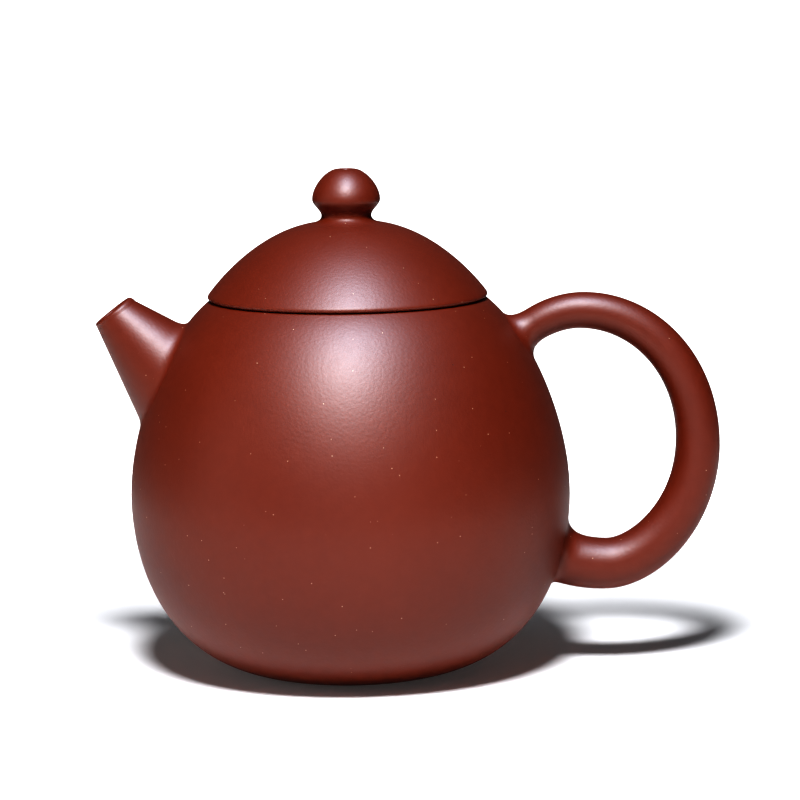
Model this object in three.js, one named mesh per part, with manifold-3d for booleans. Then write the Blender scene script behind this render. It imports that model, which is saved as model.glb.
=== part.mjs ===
// A dragon-egg teapot in unglazed red-brown stoneware. The body is an egg cut level near its top, and
// the cut-off cap is its lid. The spout points to -X and up, and the loop handle is at +X.
// Millimetres, +Z up, with the origin at the centre of the flat base.

import * as THREE from 'three';
import { mergeVertices } from 'three/addons/utils/BufferGeometryUtils.js';
import Module from 'manifold-3d';

const wasm = await Module();
wasm.setup();

// ---- Driving dimensions, mm ----

// Egg: its outline runs from the foot's edge, through the widest ring, to the mouth's edge.
const FOOT_R = 16;
const BELLY_R = 42.9;
const BELLY_Z = 34.9;
const MOUTH_R = 26.7;
const MOUTH_Z = 73.4;
const WALL = 3;

// Mouth: the ledge narrows it, and the lid's flange drops into it.
const MOUTH_BORE_R = 22.5;
const FLANGE_CLEARANCE = 0.4;
const FLANGE_THICKNESS = 2.5;
const FLANGE_BOTTOM_Z = 64.5;

// Lid: the egg's cap, with a rounded edge that stands a little proud of the body's.
const LID_SEAT_GAP = 0.2;
const LID_R = 27.2;
const LID_EDGE_Z = 74.3;
const LID_CROWN_Z = 88;
const LID_THICKNESS = 3.1;
const VENT_R = 1.1;

// Knob: a mushroom on a waisted neck.
const KNOB_FOOT_R = 7.3;
const KNOB_NECK_R = 4.85;
const KNOB_NECK_Z = 89.55;
const KNOB_R = 6.6;
const KNOB_WIDEST_Z = 92.75;
const TOP_Z = 98.6;

// Spout: a straight cone whose own axis runs from the centre of its mouth down into the pot.
const SPOUT_TIP_X = -46;
const SPOUT_TIP_Z = 71.5;
const SPOUT_RISE = 47.5;
const SPOUT_MOUTH_TILT = 5.5;
const SPOUT_TIP_R = 4.1;
const SPOUT_TAPER = 0.345;
const SPOUT_REACH = 24;
const BORE_TIP_R = 2.7;
const BORE_TAPER = 0.27;

// Strainer: a pierced ball bulging into the pot over the spout's hole.
const STRAINER_X = -34.2;
const STRAINER_Z = 58.5;
const STRAINER_DIP = 23;
const STRAINER_R = 9.2;
const STRAINER_THICKNESS = 1.6;
const STRAINER_HOLE_R = 0.9;
const STRAINER_RINGS = [{ angle: 0, count: 1 }, { angle: 27, count: 6 }, { angle: 54, count: 12 }];

// Handle: a round bar that thickens from its upper root to its lower one.
const HANDLE_TOP_R = 3.25;
const HANDLE_LOW_R = 5.25;
const HANDLE_TOP_Z = 70.4;
const HANDLE_FAR_X = 68;
const HANDLE_FAR_Z = 44.5;
const HANDLE_LOW_Z = 20.3;

// Fits: pieces turned on the same axis keep the small gap, and pieces cut to the egg the large one.
const TURNED_GAP = 0.1;
const CUT_GAP = 0.3;

// Facets: divisions round each kind of piece, and along each curve of an outline.
const ROUND = 48;
const SPOUT_ROUND = 40;
const KNOB_ROUND = 24;
const STRAINER_ROUND = 24;
const STRAINER_STACKS = 14;
const STRAINER_HOLE_SIDES = 8;
const HANDLE_SIDES = 16;
const HANDLE_STEPS = 32;
const CURVE_STEPS = 8;

// How far a cutting solid runs past what it cuts.
const OVERCUT = 2;

// ---- Outlines as cubic curves, each given by its two ends and two handles, as [r, z] ----

const EGG = [
  [[FOOT_R, 0], [41.6, 3.4], [BELLY_R, 29.9], [BELLY_R, BELLY_Z]],
  [[BELLY_R, BELLY_Z], [BELLY_R, 48.9], [35.7, 66.5], [MOUTH_R, MOUTH_Z]],
];

const SEAT_Z = MOUTH_Z + LID_SEAT_GAP;
const FLANGE_R = MOUTH_BORE_R - FLANGE_CLEARANCE;
const FLANGE_BORE_R = FLANGE_R - FLANGE_THICKNESS;
const LID_CAP = [[[LID_R, LID_EDGE_Z], [23.2, 79.7], [15.8, 86.5], [KNOB_FOOT_R, LID_CROWN_Z]]];
const HOLLOW_TOP_Z = LID_CROWN_Z - LID_THICKNESS;
const LID_HOLLOW = [[[VENT_R, HOLLOW_TOP_Z], [11.5, HOLLOW_TOP_Z], [19.4, 80.5], [FLANGE_BORE_R, SEAT_Z]]];

const KNOB_BASE_Z = LID_CROWN_Z + TURNED_GAP;
const KNOB = [
  [[KNOB_FOOT_R, KNOB_BASE_Z], [5.6, KNOB_BASE_Z], [KNOB_NECK_R, 88.7], [KNOB_NECK_R, KNOB_NECK_Z]],
  [[KNOB_NECK_R, KNOB_NECK_Z], [KNOB_NECK_R, 90.7], [KNOB_R, 91.6], [KNOB_R, KNOB_WIDEST_Z]],
  [[KNOB_R, KNOB_WIDEST_Z], [KNOB_R, 95.35], [3.7, TOP_Z], [VENT_R + 0.4, TOP_Z]],
];

// The handle's centre line, as [x, z], from its upper root round the loop to its lower one.
const HANDLE = [
  [[33, 65.2], [36.2, 68.3], [40.8, HANDLE_TOP_Z], [45.3, HANDLE_TOP_Z]],
  [[45.3, HANDLE_TOP_Z], [57.3, HANDLE_TOP_Z], [HANDLE_FAR_X, 59.8], [HANDLE_FAR_X, HANDLE_FAR_Z]],
  [[HANDLE_FAR_X, HANDLE_FAR_Z], [HANDLE_FAR_X, 29.9], [57.3, HANDLE_LOW_Z], [49.9, HANDLE_LOW_Z]],
  [[49.9, HANDLE_LOW_Z], [45.4, HANDLE_LOW_Z], [42, 21.4], [37, 23.4]],
];

// ---- Geometry helpers ----

const radians = THREE.MathUtils.degToRad;
const point = (r, z) => new THREE.Vector2(r, z);

// Points along a chain of curves, moved off it by offset: outward where the chain runs upward.
function outline(curves, offset = 0) {
  const points = [];
  curves.forEach((ends, index) => {
    const curve = new THREE.CubicBezierCurve(...ends.map(([r, z]) => point(r, z)));
    for (let step = index === 0 ? 0 : 1; step <= CURVE_STEPS; step += 1) {
      const at = curve.getPoint(step / CURVE_STEPS);
      const along = curve.getTangent(step / CURVE_STEPS);
      points.push(point(at.x + offset * along.y, at.y - offset * along.x));
    }
  });
  return points;
}

// A profile turned about +Z. It starts and ends on the axis, and runs upward on its outside.
function turned(profile, segments = ROUND) {
  return new THREE.LatheGeometry(profile, segments).rotateX(Math.PI / 2);
}

// A closed profile turned about +Z, clear of the axis all the way, as a ring or shell.
function turnedRing(profile, segments = ROUND) {
  return turned([...profile, profile[0]], segments);
}

// A closed mesh as a solid that can be cut: shared corners are merged and flat triangles dropped.
function solid(geometry) {
  const bare = new THREE.BufferGeometry();
  bare.setAttribute('position', geometry.getAttribute('position'));
  bare.setIndex(geometry.getIndex());
  const merged = mergeVertices(bare, 1e-4);
  const corners = merged.getIndex().array;
  const kept = [];
  for (let i = 0; i < corners.length; i += 3) {
    const [a, b, c] = corners.subarray(i, i + 3);
    if (a !== b && b !== c && c !== a) {
      kept.push(a, b, c);
    }
  }
  const vertProperties = new Float32Array(merged.getAttribute('position').array);
  return new wasm.Manifold(new wasm.Mesh({ numProp: 3, vertProperties, triVerts: new Uint32Array(kept) }));
}

function geometryOf(cutSolid) {
  const mesh = cutSolid.getMesh();
  const geometry = new THREE.BufferGeometry();
  geometry.setAttribute('position', new THREE.BufferAttribute(mesh.vertProperties, 3));
  geometry.setIndex(new THREE.BufferAttribute(mesh.triVerts, 1));
  geometry.computeVertexNormals();
  return geometry;
}

// The whole egg as one solid block, larger than the body by offset all round.
function eggBlock(offset) {
  const side = outline(EGG, offset);
  const top = side[side.length - 1];
  return solid(turned([point(0, side[0].y), ...side, point(0, top.y)]));
}

// Moves a shape from the spout's own frame, in which +Z runs from its mouth down into the pot.
function placedAtSpout(geometry, tilt = 0) {
  return geometry.rotateY(radians(90 + SPOUT_RISE + tilt)).translate(SPOUT_TIP_X, 0, SPOUT_TIP_Z);
}

// A solid cone on the spout's axis, between two depths below the spout's mouth.
function spoutCone(mouthRadius, taper, from, to) {
  const low = point(mouthRadius + taper * from, from);
  const high = point(mouthRadius + taper * to, to);
  return solid(placedAtSpout(turned([point(0, from), low, high, point(0, to)], SPOUT_ROUND)));
}

function spoutBore() {
  return spoutCone(BORE_TIP_R, BORE_TAPER, -2 * OVERCUT, SPOUT_REACH + OVERCUT);
}

// ---- Sub-parts ----

// The egg's shell below its widest ring, open at the foot for the base disc, with an upright edge there.
function lowerWall() {
  const [lowerCurve] = EGG;
  const inside = outline([lowerCurve], -WALL).reverse();
  inside[inside.length - 1].x = FOOT_R;
  return turnedRing([...outline([lowerCurve]), ...inside]);
}

// The egg's shell above its widest ring, relieved inside its rim for the ledge.
function upperWall() {
  const [, upperCurve] = EGG;
  const outside = outline([upperCurve]);
  const inside = outline([upperCurve], -WALL).reverse();
  const seamZ = BELLY_Z + TURNED_GAP;
  outside[0].y = seamZ;
  inside[inside.length - 1].y = seamZ;
  const shell = solid(turnedRing([...outside, point(inside[0].x, MOUTH_Z), ...inside]));
  return geometryOf(shell.subtract(spoutBore()));
}

function baseDisc() {
  const edge = FOOT_R - 2 * TURNED_GAP;
  return turned([point(0, 0), point(edge, 0), point(edge, WALL), point(0, WALL)]);
}

// A flat ring let into the rim, flush with its top, that narrows the mouth and carries the lid.
function mouthLedge() {
  const inside = outline(EGG, -WALL);
  const under = inside[inside.length - 1];
  const outerR = under.x - TURNED_GAP;
  const chamfer = 0.4;
  return turnedRing([
    point(MOUTH_BORE_R + chamfer, under.y),
    point(outerR, under.y),
    point(outerR, MOUTH_Z),
    point(MOUTH_BORE_R + chamfer, MOUTH_Z),
    point(MOUTH_BORE_R, MOUTH_Z - chamfer),
    point(MOUTH_BORE_R, under.y + chamfer),
  ]);
}

// A hollow cone, trimmed level-faced at its mouth and cut at its root to sit on the egg.
function spout() {
  const side = 5 * SPOUT_TIP_R;
  const block = new THREE.BoxGeometry(side, side, side).translate(0, 0, -side / 2);
  const mouthTrim = solid(placedAtSpout(block, SPOUT_MOUTH_TILT));
  const cone = spoutCone(SPOUT_TIP_R, SPOUT_TAPER, -OVERCUT, SPOUT_REACH);
  return geometryOf(cone.subtract(spoutBore()).subtract(mouthTrim).subtract(eggBlock(CUT_GAP)));
}

// A ball shell kept only where it is inside the pot, pierced by rings of holes square to its surface.
function strainer() {
  const ball = (radius) => solid(new THREE.SphereGeometry(radius, STRAINER_ROUND, STRAINER_STACKS));
  let shell = ball(STRAINER_R).subtract(ball(STRAINER_R - STRAINER_THICKNESS));
  STRAINER_RINGS.forEach(({ angle, count }) => {
    for (let k = 0; k < count; k += 1) {
      const sides = STRAINER_HOLE_SIDES;
      const drill = new THREE.CylinderGeometry(STRAINER_HOLE_R, STRAINER_HOLE_R, STRAINER_R, sides);
      drill.translate(0, STRAINER_R, 0).rotateZ(radians(-angle)).rotateY((2 * Math.PI * k) / count);
      shell = shell.subtract(solid(drill));
    }
  });
  const placed = geometryOf(shell);
  placed.rotateZ(-Math.PI / 2).rotateY(radians(STRAINER_DIP)).translate(STRAINER_X, 0, STRAINER_Z);
  return geometryOf(solid(placed).intersect(eggBlock(-WALL - CUT_GAP)));
}

// A round bar bent along the handle's centre line, its ends cut to sit on the egg.
function handle() {
  const path = new THREE.CurvePath();
  HANDLE.forEach((ends) => {
    path.add(new THREE.CubicBezierCurve3(...ends.map(([x, z]) => new THREE.Vector3(x, 0, z))));
  });
  const bar = new THREE.CylinderGeometry(1, 1, 1, HANDLE_SIDES, HANDLE_STEPS);
  const corners = bar.getAttribute('position');
  for (let i = 0; i < corners.count; i += 1) {
    const along = THREE.MathUtils.clamp(corners.getY(i) + 0.5, 0, 1);
    const centre = path.getPointAt(along);
    const heading = path.getTangentAt(along);
    const radius = THREE.MathUtils.lerp(HANDLE_TOP_R, HANDLE_LOW_R, along);
    const side = corners.getX(i) * radius;
    corners.setXYZ(i, centre.x - side * heading.z, corners.getZ(i) * radius, centre.z + side * heading.x);
  }
  return geometryOf(solid(bar).subtract(eggBlock(CUT_GAP)));
}

// The egg's cap: a domed shell with a flat underside, a rounded edge and a vent at its centre.
function lidDome() {
  const easing = 0.2;
  return turnedRing([
    point(FLANGE_BORE_R, SEAT_Z),
    point(LID_R - 3.5 * easing, SEAT_Z),
    point(LID_R - easing, SEAT_Z + easing),
    ...outline(LID_CAP),
    point(VENT_R, LID_CROWN_Z),
    ...outline(LID_HOLLOW).slice(0, -1),
  ]);
}

function lidFlange() {
  const topZ = SEAT_Z - TURNED_GAP;
  const chamfer = 0.7;
  return turnedRing([
    point(FLANGE_BORE_R + chamfer, FLANGE_BOTTOM_Z),
    point(FLANGE_R - chamfer, FLANGE_BOTTOM_Z),
    point(FLANGE_R, FLANGE_BOTTOM_Z + chamfer),
    point(FLANGE_R, topZ),
    point(FLANGE_BORE_R, topZ),
    point(FLANGE_BORE_R, FLANGE_BOTTOM_Z + chamfer),
  ]);
}

function knob() {
  const chamfer = 0.4;
  const profile = [point(VENT_R, KNOB_BASE_Z), ...outline(KNOB), point(VENT_R, TOP_Z - chamfer)];
  return turnedRing(profile, KNOB_ROUND);
}

// ---- Assembly ----

function clayMesh(name, geometry) {
  const clay = new THREE.MeshStandardMaterial({ color: 0x7d3223, roughness: 0.5, metalness: 0 });
  const mesh = new THREE.Mesh(geometry, clay);
  mesh.name = name;
  return mesh;
}

const pot = new THREE.Group();
pot.add(
  clayMesh('lower_wall', lowerWall()),
  clayMesh('upper_wall', upperWall()),
  clayMesh('base_disc', baseDisc()),
  clayMesh('mouth_ledge', mouthLedge()),
  clayMesh('spout', spout()),
  clayMesh('strainer', strainer()),
  clayMesh('handle', handle()),
);

const lid = new THREE.Group();
lid.add(
  clayMesh('lid_dome', lidDome()),
  clayMesh('lid_flange', lidFlange()),
  clayMesh('knob', knob()),
);

const teapot = new THREE.Group();
teapot.add(pot, lid);

export default teapot;
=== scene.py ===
"""A dragon-egg teapot in burnished red-brown clay, finished around its CAD frame.

Every piece is an outline turned about the pot's axis or a ring swept along a path. Outlines are cubic
curves written in millimetres, with their ends taken from the boxes of the CAD nodes.
"""

import math

import bpy
import numpy as np
from mathutils import Matrix, Vector, noise

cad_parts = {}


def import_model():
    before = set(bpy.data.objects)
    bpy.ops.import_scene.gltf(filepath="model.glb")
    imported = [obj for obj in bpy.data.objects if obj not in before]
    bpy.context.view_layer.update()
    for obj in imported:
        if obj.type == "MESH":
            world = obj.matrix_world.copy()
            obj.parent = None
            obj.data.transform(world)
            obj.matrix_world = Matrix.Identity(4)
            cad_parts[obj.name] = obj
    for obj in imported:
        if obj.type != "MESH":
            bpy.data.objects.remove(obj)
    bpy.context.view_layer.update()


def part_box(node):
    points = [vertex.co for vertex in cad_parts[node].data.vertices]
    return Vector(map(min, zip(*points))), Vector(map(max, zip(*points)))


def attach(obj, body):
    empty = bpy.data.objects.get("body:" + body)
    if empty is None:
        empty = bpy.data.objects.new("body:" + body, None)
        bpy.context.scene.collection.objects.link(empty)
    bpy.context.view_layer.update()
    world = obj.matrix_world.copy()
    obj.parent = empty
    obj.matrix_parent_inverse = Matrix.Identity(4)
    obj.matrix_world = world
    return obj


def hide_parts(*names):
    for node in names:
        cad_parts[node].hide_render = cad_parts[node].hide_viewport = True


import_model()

MM = 0.001


def high(node):
    return np.array(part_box(node)[1]) / MM


def low(node):
    return np.array(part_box(node)[0]) / MM


# ---- Driving dimensions in mm ----

FOOT_R = 16.0
BELLY_R = high("lower_wall")[0]
BELLY_Z = 34.9
MOUTH_R = 26.7
MOUTH_Z = high("upper_wall")[2]
WALL = high("base_disc")[2]

LEDGE_BORE_R = 22.5
LEDGE_R = high("mouth_ledge")[0]
LEDGE_Z = low("mouth_ledge")[2]

LID_R = high("lid_dome")[0]
LID_EDGE_Z = 74.3
SEAT_Z = low("lid_dome")[2]
CROWN_Z = high("lid_dome")[2]
LID_THICKNESS = 3.1
FLANGE_R = high("lid_flange")[0]
FLANGE_BORE_R = FLANGE_R - 2.5
FLANGE_Z = low("lid_flange")[2]
VENT_R = 1.1

KNOB_FOOT_R = high("knob")[0]
KNOB_NECK_R = 4.85
KNOB_NECK_Z = 89.55
KNOB_R = 6.6
KNOB_WIDEST_Z = 92.75
TOP_Z = high("knob")[2]

SPOUT_TIP = np.array([-46.0, 0.0, 71.5])
SPOUT_RISE = math.radians(47.5)
SPOUT_MOUTH_TILT = math.radians(5.5)
SPOUT_TIP_R = 4.1
SPOUT_TAPER = 0.345
SPOUT_REACH = 24.0
BORE_TIP_R = 2.7
BORE_TAPER = 0.27
BORE_PAST_WALL = 0.5
SPOUT_SIDES = 128
SPOUT_INTO_POT = np.array([math.cos(SPOUT_RISE), 0, -math.sin(SPOUT_RISE)])
SPOUT_UPWARD = np.array([math.sin(SPOUT_RISE), 0, math.cos(SPOUT_RISE)])
# Each pair is the value underneath the spout and the value on top.
LIP_DEPTH = (0.5, 1.4)
SPOUT_FILLET_UP = (1.6, 2.5)
SPOUT_FILLET_ON = (0.9, 1.3)
LIP_FULLNESS = 0.7

STRAINER_CENTRE = np.array([-34.2, 0.0, 58.5])
STRAINER_DIP = math.radians(23)
STRAINER_R = 9.2
STRAINER_THICKNESS = 1.6
STRAINER_HOLE_R = 0.9
STRAINER_SPAN = math.radians(100)
# Rings of holes: degrees from the ball's axis, number of holes, and degrees round to the first one.
STRAINER_RINGS = ((0, 1, 0), (27, 6, 30), (54, 12, 0))

HANDLE_TOP_BAR_R = 3.25
HANDLE_LOW_BAR_R = 5.25
HANDLE_TOP_Z = 70.4
HANDLE_FAR_X = 68.0
HANDLE_FAR_Z = 44.5
HANDLE_LOW_Z = 20.3
HANDLE_SIDES = 72
HANDLE_RUN_ON = 5.0
HANDLE_SUNK = 1.5
UPPER_FILLET_UP = 4.2
UPPER_FILLET_ON = 2.6
# Each pair is the value inside the loop and the value outside it.
LOWER_FILLET_UP = (4.6, 1.6)
LOWER_FILLET_ON = (3.4, 1.0)

ACROSS = np.array([0.0, 1.0, 0.0])

# ---- Outlines: chains of cubic curves given by ends and handles, as (r, z) ----

EGG = [
    [(FOOT_R, 0), (41.6, 3.4), (BELLY_R, 29.9), (BELLY_R, BELLY_Z)],
    [(BELLY_R, BELLY_Z), (BELLY_R, 48.9), (35.7, 66.5), (MOUTH_R, MOUTH_Z)],
]
LID_CAP = [[(LID_R, LID_EDGE_Z), (23.2, 79.7), (15.8, 86.5), (KNOB_FOOT_R, CROWN_Z)]]
HOLLOW_TOP_Z = CROWN_Z - LID_THICKNESS
LID_HOLLOW = [[(VENT_R, HOLLOW_TOP_Z), (11.5, HOLLOW_TOP_Z), (19.4, 80.5), (FLANGE_BORE_R, SEAT_Z)]]
KNOB_STEM = [
    [(KNOB_FOOT_R + 0.4, CROWN_Z - 0.13), (5.7, 88.25), (KNOB_NECK_R, 88.75), (KNOB_NECK_R, KNOB_NECK_Z)],
]
KNOB_HEAD = [
    [(KNOB_NECK_R, KNOB_NECK_Z), (KNOB_NECK_R, 90.7), (KNOB_R, 91.6), (KNOB_R, KNOB_WIDEST_Z)],
    [(KNOB_R, KNOB_WIDEST_Z), (KNOB_R, 95.35), (3.7, TOP_Z), (VENT_R + 0.5, TOP_Z)],
]
# The handle's centre line, as (x, z), from its upper root round the loop to its lower one.
HANDLE = [
    [(33, 65.2), (36.2, 68.3), (40.8, HANDLE_TOP_Z), (45.3, HANDLE_TOP_Z)],
    [(45.3, HANDLE_TOP_Z), (57.3, HANDLE_TOP_Z), (HANDLE_FAR_X, 59.8), (HANDLE_FAR_X, HANDLE_FAR_Z)],
    [(HANDLE_FAR_X, HANDLE_FAR_Z), (HANDLE_FAR_X, 29.9), (57.3, HANDLE_LOW_Z), (49.9, HANDLE_LOW_Z)],
    [(49.9, HANDLE_LOW_Z), (45.4, HANDLE_LOW_Z), (42, 21.4), (37, 23.4)],
]

# ---- Outline helpers ----


def unit(vectors):
    vectors = np.asarray(vectors, float)
    return vectors / np.linalg.norm(vectors, axis=-1, keepdims=True)


def between(ends, share):
    """The value that is the given share of the way from the first end to the second."""
    return ends[0] + share * (ends[1] - ends[0])


def cubic(ends, count):
    t = np.linspace(0, 1, count + 1)[:, None]
    a, b, c, d = (np.array(p, float) for p in ends)
    return (1 - t) ** 3 * a + 3 * t * (1 - t) ** 2 * b + 3 * t * t * (1 - t) * c + t ** 3 * d


def quadratic(a, b, c, count):
    t = np.linspace(0, 1, count + 1)[:, None]
    return (1 - t) ** 2 * np.asarray(a) + 2 * t * (1 - t) * np.asarray(b) + t * t * np.asarray(c)


def chain(curves, count):
    return np.vstack([cubic(c, count)[0 if i == 0 else 1:] for i, c in enumerate(curves)])


def offset(points, distance):
    """The outline moved sideways: outward where it runs upward."""
    along = unit(np.gradient(points, axis=0))
    return points + distance * np.column_stack([along[:, 1], -along[:, 0]])


def corner(before, at, after, size, count=5):
    """A rounded corner that leaves both sides at size from where they would meet."""
    before, at, after = (np.asarray(p, float) for p in (before, at, after))
    return quadratic(at + size * unit(before - at), at, at + size * unit(after - at), count)


def at_length(line, lengths):
    """Points on a polyline at the given distances from its start."""
    steps = np.concatenate([[0], np.cumsum(np.linalg.norm(np.diff(line, axis=0), axis=1))])
    return np.column_stack([np.interp(lengths, steps, line[:, k]) for k in range(line.shape[1])])


def length_of(line):
    return np.linalg.norm(np.diff(line, axis=0), axis=1).sum()


# ---- The egg as a surface ----

EGG_LINE = chain(EGG, 900)
EGG_NORMALS = offset(EGG_LINE, 1) - EGG_LINE
FILLET_EDGE_OUT = 0.6
FILLET_EDGE_IN = 0.25


def on_egg(points):
    """For each point: its nearest point on the egg, the outward normal there, and its height above it."""
    points = np.atleast_2d(points)
    radius = np.hypot(points[:, 0], points[:, 1])
    gaps = (EGG_LINE[:, 0] - radius[:, None]) ** 2 + (EGG_LINE[:, 1] - points[:, 2:]) ** 2
    nearest = gaps.argmin(axis=1)
    flat = EGG_NORMALS[nearest]
    height = ((np.column_stack([radius, points[:, 2]]) - EGG_LINE[nearest]) * flat).sum(axis=1)
    around = points[:, :2] / radius[:, None]
    normals = np.column_stack([around * flat[:, :1], flat[:, 1]])
    return points - height[:, None] * normals, normals, height


def rooted(rail, centres, up_rail, on_body, free_count, root_count):
    """Ends one side line of a spout or handle in a smooth fillet on the egg.

    rail runs from the free end to inside the egg, and centres is the axis beside it. The fillet starts
    up_rail before the egg and ends on_body out from where the rail would meet it.
    """
    height = on_egg(rail)[2]
    inside = int(np.argmax(height < 0))
    share = height[inside - 1] / (height[inside - 1] - height[inside])
    meet = rail[inside - 1] + share * (rail[inside] - rail[inside - 1])
    meet_length = length_of(rail[:inside]) + np.linalg.norm(meet - rail[inside - 1])
    start_length = meet_length - up_rail
    start, ahead = at_length(rail, [start_length, start_length + 0.05])
    heading = unit(ahead - start)
    meet_normal = on_egg(meet)[1][0]
    outward = meet - centres[inside]
    outward = unit(outward - outward.dot(meet_normal) * meet_normal)
    foot, foot_normal, _ = (values[0] for values in on_egg(meet + on_body * outward))
    reach = (foot - start).dot(foot_normal) / heading.dot(foot_normal)
    fillet = quadratic(start, start + reach * heading, foot, root_count)
    buried = foot + FILLET_EDGE_OUT * outward - FILLET_EDGE_IN * foot_normal
    free = at_length(rail, np.linspace(0, start_length, free_count + 1))
    return np.vstack([free, fillet[1:], buried])


# ---- Mesh helpers ----

WOBBLE = 0.02
WOBBLE_LENGTH = 16.0
SETTLED_Z = 8.0
WOBBLE_SEED = 7

# Vector noise starts from the clock unless it is given a seed.
noise.seed_set(WOBBLE_SEED)


def hand_shaped(points):
    """The slight unevenness of hand work, in mm: one field for all the pieces, so their joints stay shut."""
    moved = np.array([noise.noise_vector(Vector(p) / WOBBLE_LENGTH) for p in points])
    return points + WOBBLE * moved * np.clip(points[:, 2:] / SETTLED_Z, 0, 1)


def grid_faces(rows, columns, close_rows=False):
    """Quads of a grid of rows x columns corners whose columns close on themselves."""
    faces = []
    for i in range(rows if close_rows else rows - 1):
        below = i * columns
        above = (i + 1) % rows * columns
        for k in range(columns):
            ahead = (k + 1) % columns
            faces.append((below + k, below + ahead, above + ahead, above + k))
    return faces


def new_mesh(name, points, faces):
    mesh = bpy.data.meshes.new(name)
    mesh.from_pydata((hand_shaped(points) * MM).tolist(), [], faces)
    mesh.shade_smooth()
    piece = bpy.data.objects.new(name, mesh)
    bpy.context.scene.collection.objects.link(piece)
    return piece


def turned(name, profile, segments):
    """An outline turned about +Z. It closes on itself, or starts and ends on the axis."""
    profile = np.asarray(profile, float)
    on_axis = profile[0, 0] < 1e-6
    rings = profile[1:-1] if on_axis else profile
    angles = np.arange(segments) * 2 * math.pi / segments
    around = np.column_stack([np.cos(angles), np.sin(angles)])
    points = [np.column_stack([r * around, np.full(segments, z)]) for r, z in rings]
    faces = grid_faces(len(rings), segments, close_rows=not on_axis)
    if on_axis:
        count = len(rings) * segments
        points += [[(0, 0, profile[0, 1])], [(0, 0, profile[-1, 1])]]
        last = count - segments
        for k in range(segments):
            ahead = (k + 1) % segments
            faces.append((count, ahead, k))
            faces.append((count + 1, last + k, last + ahead))
    return new_mesh(name, np.vstack(points), faces)


def cut(piece, cutter):
    """Cuts one piece with another, which is then removed."""
    tool = piece.modifiers.new("cut", "BOOLEAN")
    tool.operation = "DIFFERENCE"
    tool.solver = "EXACT"
    tool.object = cutter
    bpy.context.view_layer.update()
    result = bpy.data.meshes.new_from_object(piece.evaluated_get(bpy.context.evaluated_depsgraph_get()))
    piece.modifiers.clear()
    piece.data = result
    bpy.data.objects.remove(cutter)
    piece.data.set_sharp_from_angle(angle=math.radians(35))
    return piece


# ---- Pieces ----


def wall_outline():
    outside = chain(EGG, 90)
    inside = offset(chain(EGG, 60), -WALL)[::-1]
    rim_inside = (LEDGE_R + 0.1, MOUTH_Z)
    rim_round = 0.2
    rim = corner(outside[-2], (MOUTH_R, MOUTH_Z), rim_inside, rim_round)
    return np.vstack([outside[:-1], rim, [rim_inside], inside])


def cone_cutter(name, extra, start, end):
    """A solid cone on the spout's axis, a little wider than the bore."""
    depth = np.linspace(start, end, 12)
    outline = [(0, start)] + [(BORE_TIP_R + BORE_TAPER * d + extra, d) for d in depth] + [(0, end)]
    cutter = turned(name, outline, 96)
    turn = Matrix.Rotation(math.pi / 2 + SPOUT_RISE, 4, "Y")
    cutter.data.transform(Matrix.Translation(Vector(SPOUT_TIP * MM)) @ turn)
    return cutter


def body_wall():
    wall = turned("teapot_body", wall_outline(), 256)
    return cut(wall, cone_cutter("bore_cutter", 0.04, 8, SPOUT_REACH + 4))


def base_disc():
    """The floor slab. Its underside is pressed in a little, so that the pot stands on a ring."""
    recess = 0.5
    outline = [(0, recess), (4, recess), (8, recess), (11.4, recess)]
    outline += list(quadratic((12.2, recess), (13.4, recess), (13.7, 0.06), 6))
    outline += list(quadratic((13.8, 0.03), (14.0, 0), (14.4, 0), 4))
    outline += [(15.6, 0), (FOOT_R + 0.05, 0.02), (FOOT_R + 0.1, 0.4), (FOOT_R + 0.1, WALL - 0.02)]
    outline += [(12, WALL - 0.01), (6, WALL), (0, WALL)]
    return turned("teapot_base", outline, 192)


def mouth_ledge():
    """The flat ring round the mouth. Its outer edge dips just under the rim, which hides the joint."""
    outer = LEDGE_R + 0.3
    top_in = corner((outer, MOUTH_Z), (LEDGE_BORE_R, MOUTH_Z), (LEDGE_BORE_R, LEDGE_Z), 0.45)
    low_in = corner((LEDGE_BORE_R, MOUTH_Z), (LEDGE_BORE_R, LEDGE_Z), (outer, LEDGE_Z), 0.6)
    outline = [(outer, LEDGE_Z), (outer, MOUTH_Z - 0.05), (LEDGE_R - 0.1, MOUTH_Z), (23.6, MOUTH_Z)]
    return turned("mouth_rim", np.vstack([outline, top_in, low_in]), 256)


def spout_side(start, tip_r, taper, side):
    """A straight side line of the cone or its bore from one depth inward, with its depths and radii."""
    depths = np.linspace(start, SPOUT_REACH, 300)
    radii = tip_r + taper * depths
    return SPOUT_TIP + depths[:, None] * SPOUT_INTO_POT + radii[:, None] * side, depths, radii


def spout_lip(outer_edge, bore_edge, lip_depth, side):
    """The round of the lip between two edges, each given as a radius and a depth."""
    (outer_r, outer_depth), (bore_r, bore_depth) = outer_edge, bore_edge
    turn = np.linspace(math.pi, 0, 15)
    radii = (outer_r + bore_r) / 2 + (outer_r - bore_r) / 2 * np.cos(turn)
    rise = np.sin(turn) ** LIP_FULLNESS * lip_depth
    depths = np.interp(radii, [bore_r, outer_r], [bore_depth, outer_depth]) - rise
    return SPOUT_TIP + depths[:, None] * SPOUT_INTO_POT + radii[:, None] * side


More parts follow.
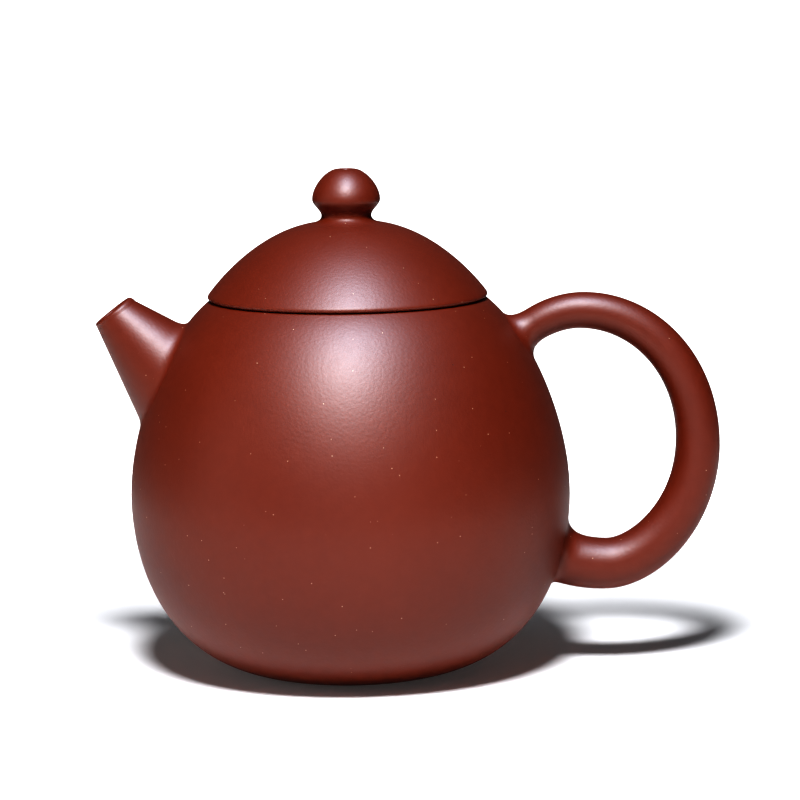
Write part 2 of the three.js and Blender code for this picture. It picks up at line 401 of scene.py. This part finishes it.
def spout_loop(angle):
    """One closed side line: over the lip, down the outside into the fillet, and back up the bore."""
    side = math.cos(angle) * SPOUT_UPWARD + math.sin(angle) * ACROSS
    topness = 0.5 + 0.5 * math.cos(angle)
    lip_depth = between(LIP_DEPTH, topness)
    tilt = math.cos(angle) * math.tan(SPOUT_MOUTH_TILT)
    start = SPOUT_TIP_R * tilt + lip_depth
    outer, outer_depths, outer_radii = spout_side(start, SPOUT_TIP_R, SPOUT_TAPER, side)
    axis = SPOUT_TIP + outer_depths[:, None] * SPOUT_INTO_POT
    fillet_up, fillet_on = between(SPOUT_FILLET_UP, topness), between(SPOUT_FILLET_ON, topness)
    outside = rooted(outer, axis, fillet_up, fillet_on, 60, 12)
    start = BORE_TIP_R * tilt + lip_depth
    bore, bore_depths, bore_radii = spout_side(start, BORE_TIP_R, BORE_TAPER, side)
    bore_end = int(np.argmax(on_egg(bore)[2] < -BORE_PAST_WALL))
    inside = at_length(bore, np.linspace(0, length_of(bore[: bore_end + 1]), 40))[::-1]
    edges = (outer_radii[0], outer_depths[0]), (bore_radii[0], bore_depths[0])
    lip = spout_lip(*edges, lip_depth, side)
    return np.vstack([lip[1:-1], outside, inside])


def spout():
    """A hollow cone with a rounded lip, made of side lines all the way round."""
    angles = np.arange(SPOUT_SIDES) * 2 * math.pi / SPOUT_SIDES
    loops = np.array([spout_loop(angle) for angle in angles])
    points = loops.transpose(1, 0, 2).reshape(-1, 3)
    faces = grid_faces(loops.shape[1], SPOUT_SIDES, close_rows=True)
    return new_mesh("teapot_spout", points, [face[::-1] for face in faces])


def handle_bar():
    """The bar's centres, directions out of the loop and radii, run on past both roots into the wall."""
    path = chain(HANDLE, 120)
    first, last = unit(path[1] - path[0]), unit(path[-1] - path[-2])
    path = np.vstack([path[0] - HANDLE_RUN_ON * first, path, path[-1] + HANDLE_RUN_ON * last])
    total = length_of(path)
    path = at_length(path, np.linspace(0, total, 700))
    heading = unit(np.gradient(path, axis=0))
    share = np.linspace(-HANDLE_RUN_ON, total - HANDLE_RUN_ON, len(path)) / (total - 2 * HANDLE_RUN_ON)
    radii = between((HANDLE_TOP_BAR_R, HANDLE_LOW_BAR_R), share)
    level = np.zeros(len(path))
    centres = np.column_stack([path[:, 0], level, path[:, 1]])
    outward = np.column_stack([-heading[:, 1], level, heading[:, 0]])
    return centres, outward, radii


def handle():
    """A tapering round bar swept round the loop, with filleted roots and its ends shut inside the wall."""
    centres, outward, radii = handle_bar()
    middle = len(centres) // 2
    loops = []
    for angle in np.arange(HANDLE_SIDES) * 2 * math.pi / HANDLE_SIDES:
        outness = 0.5 + 0.5 * math.cos(angle)
        rail = centres + radii[:, None] * (math.cos(angle) * outward + math.sin(angle) * ACROSS)
        upper = rooted(rail[middle::-1], centres[middle::-1], UPPER_FILLET_UP, UPPER_FILLET_ON, 110, 16)
        fillet_up, fillet_on = between(LOWER_FILLET_UP, outness), between(LOWER_FILLET_ON, outness)
        lower = rooted(rail[middle:], centres[middle:], fillet_up, fillet_on, 110, 16)
        loops.append(np.vstack([upper[::-1], lower[1:]]))
    loops = np.array(loops)
    ends = [on_egg(loops[:, k].mean(axis=0))[0][0] for k in (0, -1)]
    sunk = [end - HANDLE_SUNK * on_egg(end)[1][0] for end in ends]
    points = np.vstack([loops.transpose(1, 0, 2).reshape(-1, 3), sunk])
    rows = loops.shape[1]
    faces = [face[::-1] for face in grid_faces(rows, HANDLE_SIDES)]
    count = rows * HANDLE_SIDES
    last = count - HANDLE_SIDES
    for k in range(HANDLE_SIDES):
        ahead = (k + 1) % HANDLE_SIDES
        faces.append((count, k, ahead))
        faces.append((count + 1, last + ahead, last + k))
    return new_mesh("teapot_handle", points, faces)


def strainer():
    """The pierced ball over the spout's hole, standing in from the wall."""
    turn = np.linspace(0, STRAINER_SPAN, 40)
    arc = np.column_stack([np.sin(turn), np.cos(turn)])
    inner_r = STRAINER_R - STRAINER_THICKNESS
    outline = np.vstack([[(0, inner_r)], inner_r * arc[1:], STRAINER_R * arc[:0:-1], [(0, STRAINER_R)]])
    ball = turned("tea_strainer", outline, 96)
    drill_from, drill_to = 4, 12
    drill_outline = [(0, drill_from), (STRAINER_HOLE_R, drill_from)]
    drill_outline += [(STRAINER_HOLE_R, drill_to), (0, drill_to)]
    for ring, count, first in STRAINER_RINGS:
        for k in range(count):
            drill = turned("drill", drill_outline, 20)
            tilt = Matrix.Rotation(math.radians(ring), 4, "Y")
            around = Matrix.Rotation(math.radians(first + 360 * k / count), 4, "Z")
            drill.data.transform(around @ tilt)
            cut(ball, drill)
    aim = Matrix.Rotation(math.pi / 2 + STRAINER_DIP, 4, "Y")
    ball.data.transform(Matrix.Translation(Vector(STRAINER_CENTRE * MM)) @ aim)
    return ball


def lid_dome():
    """The cap. Its edge is rolled under and relieved outside the seat, for the dark line at the mouth."""
    edge_r, edge_drop = 0.5, 0.22
    edge = (LID_R - edge_r, LID_EDGE_Z - edge_drop)
    turn = np.radians(np.linspace(-75, 34, 10))
    rolled = np.column_stack([edge[0] + edge_r * np.cos(turn), edge[1] + edge_r * np.sin(turn)])
    cap = chain(LID_CAP, 90)
    cap = cap[cap[:, 1] > rolled[-1, 1] + 0.1]
    vent_out = corner(cap[-1], (VENT_R, CROWN_Z), (VENT_R, HOLLOW_TOP_Z), 0.2)
    hollow = chain(LID_HOLLOW, 50)
    seat_inside = (FLANGE_BORE_R, SEAT_Z - 0.1)
    seat = [seat_inside, (FLANGE_R + 0.6, SEAT_Z - 0.1), (25.0, SEAT_Z - 0.1)]
    relief = quadratic((25.2, SEAT_Z - 0.09), (25.9, SEAT_Z - 0.09), (26.5, SEAT_Z + 0.01), 5)
    outline = np.vstack([seat, relief, rolled, cap, vent_out, hollow[:-1]])
    return turned("teapot_lid", outline, 256)


def lid_flange():
    """The ring under the lid. Its top runs a little into the dome, and its lower edges are rounded."""
    top = SEAT_Z + 0.6
    low_in = corner((FLANGE_BORE_R, top), (FLANGE_BORE_R + 0.2, FLANGE_Z), (FLANGE_R, FLANGE_Z), 0.9)
    low_out = corner((FLANGE_BORE_R, FLANGE_Z), (FLANGE_R - 0.15, FLANGE_Z), (FLANGE_R, top), 0.9)
    outline = np.vstack([low_in, low_out, [(FLANGE_R, FLANGE_Z + 3), (FLANGE_R, top), (FLANGE_BORE_R, top)]])
    return turned("lid_rim", outline, 256)


def knob():
    stem = chain(KNOB_STEM, 24)
    head = chain(KNOB_HEAD, 40)[1:]
    vent = corner(head[-2], (VENT_R, TOP_Z), (VENT_R, CROWN_Z), 0.45, 7)
    outline = np.vstack([[(VENT_R, CROWN_Z - 0.6), (KNOB_FOOT_R, CROWN_Z - 0.6)], stem, head[:-1], vent])
    return turned("lid_knob", outline, 128)


# ---- Clay ----


class Nodes:
    """Adds shader nodes to one tree and joins their sockets."""

    def __init__(self, tree):
        self.tree = tree

    def add(self, kind, **values):
        node = self.tree.nodes.new(kind)
        for key, value in values.items():
            if key in node.inputs:
                node.inputs[key].default_value = value
            else:
                setattr(node, key, value)
        return node

    def join(self, source, target):
        self.tree.links.new(source, target)

    def ranged(self, value, limits, results, **options):
        """The value carried over from between two limits to between two results."""
        node = self.add("ShaderNodeMapRange", **options)
        for key, number in zip(("From Min", "From Max", "To Min", "To Max"), (*limits, *results)):
            node.inputs[key].default_value = number
        self.join(value, node.inputs["Value"])
        return node.outputs["Result"]

    def combined(self, operation, first, second):
        node = self.add("ShaderNodeMath", operation=operation)
        self.join(first, node.inputs[0])
        self.join(second, node.inputs[1])
        return node.outputs[0]

    def noise_at(self, place, scale, detail, rough=0.5):
        node = self.add("ShaderNodeTexNoise", Scale=scale, Detail=detail, Roughness=rough)
        self.join(place, node.inputs["Vector"])
        return node.outputs["Fac"]

    def mixed(self, share, first, second):
        """Two colours, each a constant or a socket, mixed by a socket."""
        node = self.add("ShaderNodeMix", data_type="RGBA")
        self.join(share, node.inputs["Factor"])
        for source, target in ((first, node.inputs[6]), (second, node.inputs[7])):
            if isinstance(source, tuple):
                target.default_value = (*source, 1)
            else:
                self.join(source, target)
        return node.outputs[2]

    def dots(self, place, scale, radius, rarity):
        """Round dots, one in a few of the cells of a scatter, as a mask."""
        cells = self.add("ShaderNodeTexVoronoi", Scale=scale)
        self.join(place, cells.inputs["Vector"])
        near = self.ranged(cells.outputs["Distance"], (radius, radius * 0.6), (0, 1))
        split = self.add("ShaderNodeSeparateColor")
        self.join(cells.outputs["Color"], split.inputs[0])
        chosen = self.ranged(split.outputs[0], (rarity, rarity + 0.01), (0, 1))
        return self.combined("MULTIPLY", near, chosen)


def clay_tone(nodes, place, pits):
    """The clay's colour: slow drifts of tone, fine mottling, pale specks and dark pits."""
    drift = nodes.ranged(nodes.noise_at(place, scale=28, detail=2), (0.3, 0.7), (0, 1))
    tone = nodes.mixed(drift, CLAY_DEEP, CLAY_WARM)
    fine = nodes.noise_at(place, scale=420, detail=4, rough=0.65)
    mottle = nodes.ranged(fine, (0.35, 0.75), (0, MOTTLE_SHARE))
    tone = nodes.mixed(mottle, tone, CLAY_BRIGHT)
    specks = nodes.dots(place, scale=720, radius=0.08, rarity=0.82)
    tone = nodes.mixed(specks, tone, CLAY_SPECK)
    return nodes.mixed(pits, tone, CLAY_PIT)


def clay(name, roughness, peel):
    """Fired, burnished clay. peel is the depth in mm of its orange-peel skin."""
    material = bpy.data.materials.new(name)
    material.use_nodes = True
    nodes = Nodes(material.node_tree)
    shader = material.node_tree.nodes["Principled BSDF"]
    shader.inputs["IOR"].default_value = CLAY_IOR
    place = nodes.add("ShaderNodeTexCoord").outputs["Object"]
    pits = nodes.dots(place, scale=300, radius=0.05, rarity=0.95)
    nodes.join(clay_tone(nodes, place, pits), shader.inputs["Base Color"])

    uneven = nodes.noise_at(place, scale=700, detail=3)
    gloss = nodes.ranged(uneven, (0.3, 0.7), (roughness - GLOSS_SPREAD, roughness + GLOSS_SPREAD))
    nodes.join(gloss, shader.inputs["Roughness"])

    skin = nodes.ranged(nodes.noise_at(place, scale=1600, detail=2), (0, 1), (0, peel))
    height = nodes.combined("SUBTRACT", skin, nodes.ranged(pits, (0, 1), (0, PIT_DEPTH)))
    bump = nodes.add("ShaderNodeBump", Strength=1.0, Distance=MM)
    nodes.join(height, bump.inputs["Height"])
    nodes.join(bump.outputs["Normal"], shader.inputs["Normal"])
    return material


CLAY_DEEP = (0.132, 0.0168, 0.0021)
CLAY_WARM = (0.151, 0.0203, 0.0032)
CLAY_BRIGHT = (0.195, 0.032, 0.0085)
CLAY_SPECK = (0.62, 0.42, 0.28)
CLAY_PIT = (0.05, 0.012, 0.008)
CLAY_IOR = 1.60
MOTTLE_SHARE = 0.2
GLOSS_SPREAD = 0.008
PIT_DEPTH = 0.02

burnished = clay("burnished_clay", roughness=0.50, peel=0.028)

for piece, body, nodes in (
    (body_wall(), "pot", ("lower_wall", "upper_wall")),
    (base_disc(), "pot", ("base_disc",)),
    (mouth_ledge(), "pot", ("mouth_ledge",)),
    (spout(), "pot", ("spout",)),
    (strainer(), "pot", ("strainer",)),
    (handle(), "pot", ("handle",)),
    (lid_dome(), "lid", ("lid_dome",)),
    (lid_flange(), "lid", ("lid_flange",)),
    (knob(), "lid", ("knob",)),
):
    piece.data.materials.clear()
    piece.data.materials.append(burnished)
    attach(piece, body)
    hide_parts(*nodes)


# ---- Floor, light and camera ----


FLOOR_R = 0.26
FLOOR_SIDES = 96
# The floor's painted glow, though it is no lamp: faint under the pot, where it lightens the pot's shadow,
# and rising to full white between two distances in metres.
FLOOR_FADE = (0.12, 0.24)
FLOOR_GLOW = (0.04, 1)


def floor():
    turn = [2 * math.pi * k / FLOOR_SIDES for k in range(FLOOR_SIDES)]
    rim = [(FLOOR_R * math.cos(a), FLOOR_R * math.sin(a), 0) for a in turn]
    mesh = bpy.data.meshes.new("floor")
    mesh.from_pydata(rim, [], [tuple(range(FLOOR_SIDES))])
    disc = bpy.data.objects.new("floor", mesh)
    bpy.context.scene.collection.objects.link(disc)
    material = bpy.data.materials.new("white_floor")
    material.use_nodes = True
    nodes = Nodes(material.node_tree)
    shader = material.node_tree.nodes["Principled BSDF"]
    shader.inputs["Base Color"].default_value = (0.9, 0.9, 0.9, 1)
    shader.inputs["Roughness"].default_value = 0.9
    # Painted light: the floor glows though it is no lamp, faintly under the pot to lighten its shadow, fully
    # farther out.
    shader.inputs["Emission Color"].default_value = (1, 1, 1, 1)
    distance = nodes.add("ShaderNodeVectorMath", operation="LENGTH")
    nodes.join(nodes.add("ShaderNodeTexCoord").outputs["Object"], distance.inputs[0])
    glow = nodes.ranged(distance.outputs["Value"], FLOOR_FADE, FLOOR_GLOW, interpolation_type="SMOOTHSTEP")
    nodes.join(glow, shader.inputs["Emission Strength"])
    mesh.materials.append(material)


# Glows of the surrounding room: a direction and its strength, behind, left, right and above.
WORLD_GLOWS = (((0, 1, 0), 1.3), ((-1, 0, 0), 0.5), ((1, 0, 0), 0.3), ((0, 0, 1), 0.27))
# The cosines from the middle of a glow at which it starts and is full.
GLOW_SPREAD = (0.35, 0.9)
BACKDROP_STRENGTH = 1.1


def world():
    """Soft glows that light the pot, behind a white backdrop that only the camera sees."""
    sky = bpy.data.worlds.new("studio")
    bpy.context.scene.world = sky
    sky.use_nodes = True
    nodes = Nodes(sky.node_tree)
    surround = sky.node_tree.nodes["Background"]
    place = nodes.add("ShaderNodeTexCoord").outputs["Generated"]
    glows = []
    for direction, strength in WORLD_GLOWS:
        facing = nodes.add("ShaderNodeVectorMath", operation="DOT_PRODUCT")
        nodes.join(place, facing.inputs[0])
        facing.inputs[1].default_value = direction
        glows.append(nodes.ranged(facing.outputs["Value"], GLOW_SPREAD, (0, strength)))
    total = glows[0]
    for glow in glows[1:]:
        total = nodes.combined("ADD", total, glow)
    nodes.join(total, surround.inputs["Strength"])
    backdrop = nodes.add("ShaderNodeBackground", Color=(1, 1, 1, 1), Strength=BACKDROP_STRENGTH)
    seen = nodes.add("ShaderNodeLightPath")
    mix = nodes.add("ShaderNodeMixShader")
    nodes.join(seen.outputs["Is Camera Ray"], mix.inputs[0])
    nodes.join(surround.outputs[0], mix.inputs[1])
    nodes.join(backdrop.outputs[0], mix.inputs[2])
    nodes.join(mix.outputs[0], sky.node_tree.nodes["World Output"].inputs["Surface"])


AIM = (0, 0, 0.04)


def area_light(name, place, size, power, colour=(1, 1, 1)):
    """A round soft box aimed at the middle of the pot."""
    light = bpy.data.lights.new(name, "AREA")
    light.shape = "DISK"
    light.size = size
    light.energy = power
    light.color = colour
    lamp = bpy.data.objects.new(name, light)
    lamp.location = place
    lamp.rotation_euler = (Vector(AIM) - Vector(place)).to_track_quat("-Z", "Y").to_euler()
    bpy.context.scene.collection.objects.link(lamp)
    return lamp


CAMERA_PLACE = (0.0099, -0.8, 0.1657)
CAMERA_PITCH = math.radians(8.004)
CAMERA_ROLL = math.radians(0.812)
CAMERA_LENS = 186.2


def camera():
    lens = bpy.data.cameras.new("camera")
    lens.sensor_width = 36
    lens.lens = CAMERA_LENS
    lens.clip_start = 0.01
    eye = bpy.data.objects.new("camera", lens)
    eye.location = CAMERA_PLACE
    pitched = Matrix.Rotation(math.pi / 2 - CAMERA_PITCH, 3, "X")
    eye.rotation_euler = (pitched @ Matrix.Rotation(-CAMERA_ROLL, 3, "Z")).to_euler()
    bpy.context.scene.collection.objects.link(eye)
    bpy.context.scene.camera = eye


floor()
world()
area_light("key", (-0.018, -0.505, 0.675), 0.16, 7.6, (0.95, 0.96, 1.0))
area_light("side_fill", (-0.75, -0.28, 0.22), 0.45, 0.46)
overhead = area_light("overhead", (0.05, -0.30, 0.85), 0.30, 7.2, (0.62, 0.80, 1.0))
overhead.visible_diffuse = False
camera()
bpy.context.scene.view_settings.view_transform = "Standard"
bpy.context.scene.view_settings.look = "Very High Contrast"
